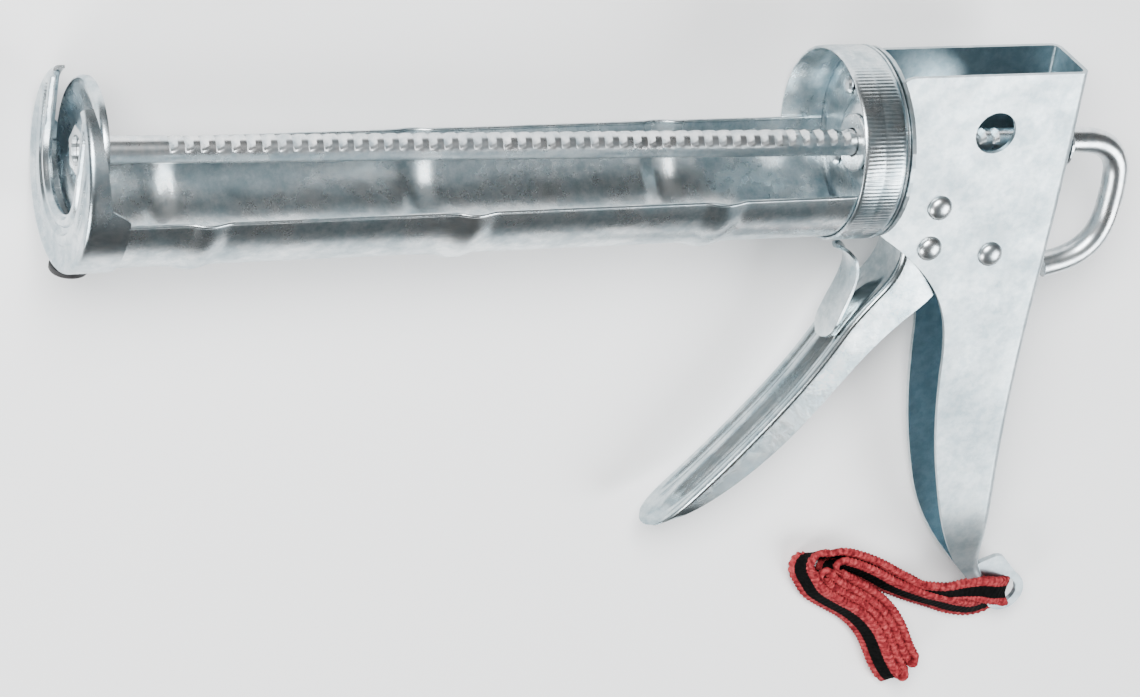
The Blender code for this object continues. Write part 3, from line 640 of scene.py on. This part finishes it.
def skirt_depth(angle):
    """How far back the skirt reaches, by the angle from straight down."""
    a = abs(math.degrees(angle))
    if a < 84:
        return TAB_DEPTH
    if a < 94:
        t = (a - 84) / 10
        return TAB_DEPTH - (TAB_DEPTH - SKIRT_DEPTH) * t * t * (3 - 2 * t)
    return SKIRT_DEPTH - (a - 94) / 60 * 3.4


def nozzle_cap(look):
    outline = slot_outline(24)
    count = len(outline)
    horn = math.atan2(SLOT_R, math.sqrt(CAP_R ** 2 - SLOT_R ** 2))
    grid = []
    for i, (y, z) in enumerate(outline):
        angle = (math.pi - horn) * (1 - 2 * i / (count - 1))
        radial = Vector((math.sin(angle), -math.cos(angle)))
        edge = Vector((y, z))
        rim = radial * (CAP_R - CAP_EDGE)
        row = [at(CAP_X + 2.2, y, z)]
        for k in range(49):
            s = k / 48
            p = edge.lerp(rim, s)
            lift = stamp((p - edge).length) * min(1.0, (rim - p).length / 1.5)
            row.append(at(CAP_X + lift, p.x, p.y))
        for k in range(1, 6):
            t = math.radians(18 * k)
            r = CAP_R - CAP_EDGE + CAP_EDGE * math.sin(t)
            row.append(at(CAP_X + CAP_EDGE - CAP_EDGE * math.cos(t), radial.x * r, radial.y * r))
        deep = skirt_depth(angle)
        for k in range(1, 9):
            row.append(at(CAP_X + CAP_EDGE + (deep - CAP_EDGE) * k / 8,
                          radial.x * CAP_R, radial.y * CAP_R))
        grid.append(row)
    made = solid_sheet("cap_shell", grid, SHEET, look, GUN, offset=-1.0, bevel=0.2)
    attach(made, "root")
    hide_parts("nozzle_cap")


def cap_foot(look):
    profile = [(0.0, 0.0), (5.0, 0.0), (5.6, 0.5), (5.6, 1.7), (5.2, 2.3), (4.2, 2.6), (1.6, 2.6),
               (1.2, 2.2), (0.0, 2.2)]
    place = GUN @ Matrix.Translation(at(CAP_X + 5.8, 0, -CAP_R - 0.2)) @ Matrix.Rotation(math.pi / 2, 4, "Y")
    made = turned("rubber_foot", profile, 48, look, place, closed=False)
    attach(made, "root")
    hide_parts("cap_foot")


# ---- handle -----------------------------------------------------------------------------

def handle(look, inner_shade):
    """Folded channel whose inner faces take a darker, bluer zinc as painted shade, with its two holes and the
    eye's notch cut out.
    """
    rows = smooth_path(FRAME_ROWS[:3], 3)[:-1] + smooth_path(FRAME_ROWS[2:5], 2)[:-1]
    rows += smooth_path(FRAME_ROWS[4:], 5)
    grid = []
    for z, front, back, width in rows:
        w = width / 2
        r = min(3.0, w * 0.7)
        corner = [(back - r + r * math.sin(a), w - r + r * math.cos(a))
                  for a in (math.radians(step) for step in range(0, 91, 15))]
        far = [(front, w)] + [(front + (back - r - front) * k / 6, w) for k in range(1, 6)] + corner
        near = [(x, -y) for x, y in reversed(far)]
        grid.append([at(x, y, z) for x, y in far + near])
    made = solid_sheet("handle_channel", grid, FRAME_T, look, None, offset=-1.0, bevel=0, smooth=30)
    # the inner faces get the second material, a darker zinc that is painted shade
    made.data.materials.append(inner_shade)
    made.modifiers["sheet"].material_offset = 1
    cutters = []
    for (x, z, r), y, axis, deep in ((VIEW_HOLE, -FRAME_W / 2, "X", 8), (ROD_WINDOW, 0, "Y", 14)):
        bpy.ops.mesh.primitive_cylinder_add(vertices=64, radius=r * MM, depth=deep * MM)
        tool = bpy.context.object
        tool.matrix_world = Matrix.Translation(at(x, y, z)) @ Matrix.Rotation(math.pi / 2, 4, axis)
        cutters.append(tool)
    bpy.ops.mesh.primitive_cube_add(size=1.0)
    tool = bpy.context.object
    tool.matrix_world = (Matrix.Translation(at(89.6, 0, -160.0))
                         @ Matrix.Diagonal((*at(20, 2.4, 26), 1)))
    cutters.append(tool)
    for tool in cutters:
        step = made.modifiers.new("cut", "BOOLEAN")
        step.operation = "DIFFERENCE"
        step.solver = "EXACT"
        step.object = tool
    soften(made, 0.22, 2, 50)
    weights = made.modifiers.new("normals", "WEIGHTED_NORMAL")
    weights.keep_sharp = True
    bpy.context.view_layer.update()
    graph = bpy.context.evaluated_depsgraph_get()
    solid = bpy.data.meshes.new_from_object(made.evaluated_get(graph))
    for tool in cutters:
        bpy.data.objects.remove(tool)
    made.modifiers.clear()
    made.data = solid
    solid.transform(GUN)
    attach(made, "root")
    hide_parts("handle_frame")


def rivet(name, node, place, look):
    """Domed heads on both sides with a small struck flat, and the shank between."""
    half = FRAME_W / 2 + 0.05
    dome = [(RIVET_R * math.cos(a), half + RIVET_H * math.sin(a))
            for a in (math.radians(step) for step in range(0, 86, 9))]
    upper = [(0.0, half + RIVET_H)] + dome[::-1] + [(RIVET_R - 0.3, half - 0.02), (2.2, half - 0.02)]
    profile = upper + [(r, -h) for r, h in reversed(upper)]
    x, z = place
    spot = GUN @ Matrix.Translation(at(x, 0, z)) @ Matrix.Rotation(math.pi / 2, 4, "Z")
    made = turned(name, profile, 48, look, spot, closed=False)
    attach(made, "root")
    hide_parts(node)


def trigger(look):
    """Channel lever with rounded shoulders and a raised ridge down its front."""
    full = TRIGGER_W / 2
    front = relaxed(smooth_path(TRIGGER_FRONT, 6), 8)
    rear = relaxed(smooth_path(TRIGGER_REAR, 6), 8)
    outer, inner = [], []
    for i, ((fx, fz), (rx, rz)) in enumerate(zip(front, rear)):
        across = Vector((rx - fx, rz - fz))
        depth = across.length
        across.normalize()
        share = min(max((i - 30) / 12.0, 0.0), 1.0)
        tail = min(max((len(front) - 1 - i) / 10.0, 0.0), 1.0)
        left = (len(front) - 1 - i) / 9.0
        w = full
        if left < 1:
            w = full * (0.42 + 0.58 * math.sqrt(max(0.0, 1 - (1 - left) ** 2)))
        ridge = RIDGE_RISE * share * share * (3 - 2 * share) * (0.25 + 0.75 * tail)
        shoulder = min(1.8, depth * 0.45)
        section = [(w, shoulder + (depth - shoulder) * k / 5) for k in range(5, 0, -1)]
        section += [(w - shoulder + shoulder * math.cos(math.radians(a)),
                     shoulder - shoulder * math.sin(math.radians(a))) for a in range(0, 91, 15)]
        for k in range(1, 21):
            y = (w - shoulder) * (1 - k / 20)
            crest = 0.5 + 0.5 * math.cos(math.pi * min(y / 3.9, 1.0))
            groove = 1.25 * share * tail * math.exp(-((y - 4.6) / 1.15) ** 2)
            section.append((y, groove - ridge * crest ** 1.3))
        section += [(-y, d) for y, d in section[-2::-1]]
        thin = inner_section(section, TRIGGER_T, depth)
        for grid, points in ((outer, section), (inner, thin)):
            grid.append([at(fx + across.x * d, y, fz + across.y * d) for y, d in points])
    made = shell_between("trigger_lever", outer, inner, look, GUN, 50, 0.18)
    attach(made, "trigger")
    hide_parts("trigger")


def trigger_lip(look):
    path = smooth_path([(x, z, w) for (x, z), w in zip(LIP_PATH, LIP_W)], 5)
    grid = []
    for step, (x, z, width) in enumerate(path):
        sink = 1.7 * max(0.0, 1 - step / 9) ** 1.5
        x, z = x + 0.84 * sink, z - 0.54 * sink
        round_off = 1 - step / 5
        width *= math.sqrt(1 - max(0.0, round_off) ** 2) * 0.65 + 0.35
        row = []
        for k in range(13):
            y = k / 6 - 1
            row.append(at(x - 0.8 * (1 - y * y), y * width / 2, z - 0.5 * (1 - y * y)))
        grid.append(row)
    made = solid_sheet("trigger_tongue", grid, LIP_T, look, GUN, offset=0.0, bevel=0.25, smooth=50)
    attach(made, "trigger")
    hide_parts("trigger_lip")


# ---- rod and piston ---------------------------------------------------------------------

def rod_ring(x, z, direction, clip, steps=28):
    """Ring square to the rod's path, flattened on its toothed side by clip."""
    up = Vector((-direction.z, 0.0, direction.x))
    lean = math.radians(TOOTH_TURN)
    ring = []
    for k in range(steps):
        a = 2 * math.pi * k / steps
        u, v = ROD_R * math.cos(a), ROD_R * math.sin(a)
        v = min(v, ROD_R - clip)
        y = u * math.cos(lean) - v * math.sin(lean)
        w = u * math.sin(lean) + v * math.cos(lean)
        ring.append(at(x, y, z) + up * w * MM)
    return ring


def ratchet_rod(look):
    forward = Vector((1, 0, 0))
    notch = ((0.0, 0.0), (0.15, TOOTH_DEPTH), (0.7, TOOTH_DEPTH + 0.05), (2.5, 0.2), (2.8, 0.0), (4.3, 0.0))
    rings = [rod_ring(ROD_FRONT, 0, forward, 0.0), rod_ring(ROD_PLAIN, 0, forward, 0.0)]
    for tooth in range(TOOTH_COUNT):
        x = ROD_PLAIN + 0.3 + tooth * TOOTH_PITCH
        rings += [rod_ring(x + along, 0, forward, clip) for along, clip in notch]
    path = [Vector((x, 0, z)) for x, z in smooth_path(HOOK_PATH, 4)]
    for i, point in enumerate(path):
        ahead = path[min(i + 1, len(path) - 1)]
        behind = path[max(i - 1, 0)]
        rings.append(rod_ring(point.x, point.z, (ahead - behind).normalized(), 0.0))
    made = tube("toothed_rod", rings, look, ROD, 22)
    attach(made, "rod")
    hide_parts("ratchet_rod")


def piston_disc(look):
    """Dished disc, as (radius, depth) points from the hole out over its face and back."""
    face = [(4.3, 2.5), (7.4, 2.4), (8.6, 2.0), (11.0, 1.9), (13.6, 1.7), (15.2, 1.0), (16.6, 0.35),
            (18.0, 0.0), (19.4, 0.0), (20.2, 0.5), (20.5, 1.3), (20.5, 2.6)]
    back = [(19.6, 2.6), (19.5, 1.7), (19.0, 1.2), (18.0, 1.2), (16.8, 1.6), (15.4, 2.3), (13.8, 2.9),
            (8.6, 3.3), (4.3, 3.6)]
    made = turned("push_disc", [(r, DISC_X + d) for r, d in face + back], 128, look, ROD)
    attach(made, "piston")
    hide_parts("piston_disc")


# ---- strap ---------------------------------------------------------------------------------

def lane(index, first, last):
    """Points of the index-th lane, between shares of its length, going right."""
    pts = smooth_path(BASE_LANE, 8)
    out = []
    n = len(pts)
    for i in range(int(first * (n - 1)), int(last * (n - 1)) + 1):
        a = Vector(pts[max(i - 1, 0)])
        b = Vector(pts[min(i + 1, n - 1)])
        t = (b - a).normalized()
        out.append(Vector(pts[i]) + Vector((-t.y, t.x)) * index * LANE_PITCH)
    return out


def turn_back(a, b, outward, steps=6):
    """Half circle from a to b that bulges outward, without its ends."""
    middle = (a + b) / 2
    radius = (b - a).length / 2
    across = (a - middle).normalized()
    reach = (outward - across * outward.dot(across)).normalized()
    return [middle + radius * (across * math.cos(math.pi * k / steps) + reach * math.sin(math.pi * k / steps))
            for k in range(1, steps)]


def strap_route():
    """(x, y, z of the web's middle, web direction) along the closed loop of webbing."""
    w_run = Vector((0.05, 0.72, 0.69)).normalized()
    w_eye = Vector((0.0, 0.985, 0.17)).normalized()
    left = Vector((-0.8, 0.6))
    right = Vector((0.6, -0.8))
    top = ((117.0, -86.6), (109.6, -82.2), (101.6, -78.8), (95.4, -77.2), (91.0, -77.6))
    under = ((97.6, -80.6), (102.6, -82.4), (109.4, -85.6), (116.6, -90.0))
    flat = [Vector(p) for p in smooth_path(top, 6)]
    a = lane(0, 0.0, 1.0)
    flat += turn_back(flat[-1], a[0], Vector((-1, 0.1)), 9) + a
    b = lane(1.05, 0.08, 1.0)[::-1]
    flat += turn_back(a[-1], b[0], right) + b
    c = lane(2.1, 0.08, 0.97)
    flat += turn_back(b[-1], c[0], left) + c
    d = lane(3.3, 0.14, 0.93)[::-1]
    flat += turn_back(c[-1], d[0], right) + d
    back = [Vector(p) for p in smooth_path(under, 6)]
    flat += turn_back(d[-1], back[0], left) + back
    out = [(Vector((p.x, p.y, 0.0)) + BUNDLE_W * STRAP_W / 2 + Vector((0, 0, BUNDLE_LIFT)), BUNDLE_W)
           for p in flat]
    lower = [(129.3, -91.9, 5.2), (136.7, -94.2, 5.0), (142.2, -96.1, 4.9), (149.1, -97.2, 4.9),
             (154.2, -95.6, 4.9), (156.8, -92.6, 5.8)]
    upper = [(157.9, -90.6, 8.2), (153.4, -89.3, 11.0), (148.6, -88.2, 11.2), (142.6, -88.4, 10.2),
             (136.9, -89.0, 9.2), (131.2, -88.9, 7.6), (126.8, -88.2, 6.4), (122.0, -85.4, 5.4)]
    run = [Vector(p) for p in smooth_path(lower + upper, 6)]
    for i, p in enumerate(run):
        t = i / (len(run) - 1)
        near = math.sin(math.pi * t)
        w = BUNDLE_W.lerp(w_run, min(1.0, near * 2.2)).lerp(w_eye, max(0.0, near * 2.4 - 1.5))
        out.append((p, w.normalized()))
    return out


def resample(route, step):
    """Even stations round the closed route, smoothed."""
    pts = [p for p, _ in route]
    webs = [w for _, w in route]
    for _ in range(3):
        n = len(pts)
        pts = [(pts[i - 1] + 2 * pts[i] + pts[(i + 1) % n]) / 4 for i in range(n)]
        webs = [(webs[i - 1] + 2 * webs[i] + webs[(i + 1) % n]).normalized() for i in range(n)]
    n = len(pts)
    lengths = [(pts[(i + 1) % n] - pts[i]).length for i in range(n)]
    total = sum(lengths)
    count = int(total / step)
    out = []
    i, passed = 0, 0.0
    for k in range(count):
        s = total * k / count
        while passed + lengths[i] < s:
            passed += lengths[i]
            i += 1
        t = (s - passed) / max(lengths[i], 1e-9)
        j = (i + 1) % n
        out.append((pts[i].lerp(pts[j], t), webs[i].lerp(webs[j], t).normalized()))
    return out, total


def strap(look):
    """The closed loop of webbing as one woven band, with its length and width as coordinates."""
    stations, total = resample(strap_route(), STRAP_STEP)
    count = len(stations)
    half, thick = STRAP_W / 2, STRAP_T / 2
    section = [((-1 + 2 * k / 8) * (half - 0.5), -thick) for k in range(9)]
    section += [(half - 0.1, -thick * 0.6), (half, 0.0), (half - 0.1, thick * 0.6)]
    section += [(-v, -t) for v, t in section[:9]]
    section += [(-half + 0.1, thick * 0.6), (-half, 0.0), (-half + 0.1, -thick * 0.6)]
    shape = bmesh.new()
    layer = shape.loops.layers.uv.new("weave")
    rings = []
    for i, (p, w) in enumerate(stations):
        ahead = stations[(i + 1) % count][0]
        behind = stations[i - 1][0]
        along = (ahead - behind).normalized()
        web = (w - along * w.dot(along)).normalized()
        out = along.cross(web).normalized()
        s = total * i / count
        ring = []
        for v, t in section:
            edge = abs(v) / half
            column = round((v + half) / WEAVE_COLUMN)
            rib = math.sin(2 * math.pi * s / WEAVE_PITCH + (math.pi if column % 2 else 0.0))
            swell = 1.0 + (0.09 + 0.05 * edge) * rib
            side = 1.0 + (0.03 * rib if edge > 0.85 else 0.0)
            ring.append(shape.verts.new((p + web * v * side + out * t * swell) * MM))
        rings.append(ring)
    per = len(section)
    for i in range(count):
        low, high = rings[i], rings[(i + 1) % count]
        for k in range(per):
            j = (k + 1) % per
            face = shape.faces.new((low[k], low[j], high[j], high[k]))
            ends = ((i, k), (i, j), (i + 1, j), (i + 1, k))
            for loop, (station, index) in zip(face.loops, ends):
                loop[layer].uv = (total * station / count * MM * 100, 0.5 + section[index][0] / STRAP_W)
    made = finish_piece("wrist_strap", shape, look, None, 60)
    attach(made, "root")
    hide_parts("strap_run", "strap_bundle")


def dress(names, look):
    """Gives CAD nodes that keep their own shape a material and softened edges."""
    for name in names:
        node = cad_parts[name]
        node.data.materials.clear()
        node.data.materials.append(look)
        soften(node, 0.15, 2, 40)


camera()
studio()
plate = zinc("zinc_plate", (0.55, 0.605, 0.62), (0.39, 0.455, 0.48), 0.38, 0.6, 0.07)
eye_metal = zinc("zinc_eye", (0.56, 0.61, 0.63), (0.36, 0.43, 0.46), 0.30, 0.8, 0.15)
# darker, bluer copy of the zinc for the channel's inner faces: painted shade
shaded_inside = zinc("zinc_inside_painted_shade", (0.45, 0.57, 0.62), (0.33, 0.44, 0.49), 0.36, 0.6, 0.08)
sheet_metal = zinc("zinc_sheet", (0.76, 0.80, 0.81), (0.36, 0.44, 0.475), 0.26, 0.8, 0.3)
cap_metal = zinc("zinc_cap", (0.66, 0.71, 0.73), (0.32, 0.40, 0.44), 0.25, 0.8, 0.12)
trigger_metal = zinc("zinc_trigger", (0.66, 0.71, 0.72), (0.34, 0.42, 0.45), 0.22, 0.8, 0.1)
bright = zinc("bright_steel", (0.84, 0.85, 0.85), (0.58, 0.62, 0.64), 0.27, 0.4, 0.04)
rubber = rubber_material()

cradle(sheet_metal)
collar(sheet_metal)
back_plate(sheet_metal)
nozzle_cap(cap_metal)
cap_foot(rubber)
handle(plate, shaded_inside)
rivet("pivot_rivet_heads", "trigger_pivot_rivet", PIVOT, bright)
rivet("upper_rivet_heads", "upper_rivet", UPPER_RIVET, bright)
rivet("rear_rivet_heads", "rear_rivet", REAR_RIVET, bright)
trigger(trigger_metal)
trigger_lip(trigger_metal)
ratchet_rod(bright)
piston_disc(cap_metal)
strap(webbing_material())
dress(("mounting_flange",), plate)
dress(("strap_eye",), eye_metal)
dress(("near_upper_collar_rivet", "near_lower_collar_rivet", "far_upper_collar_rivet",
       "far_lower_collar_rivet", "front_guide_bush", "rear_guide_bush", "pivot_sleeve",
       "upper_sleeve", "rear_sleeve", "front_nut", "back_nut", "drive_pawl", "pawl_pin",
       "trigger_return_spring"), bright)
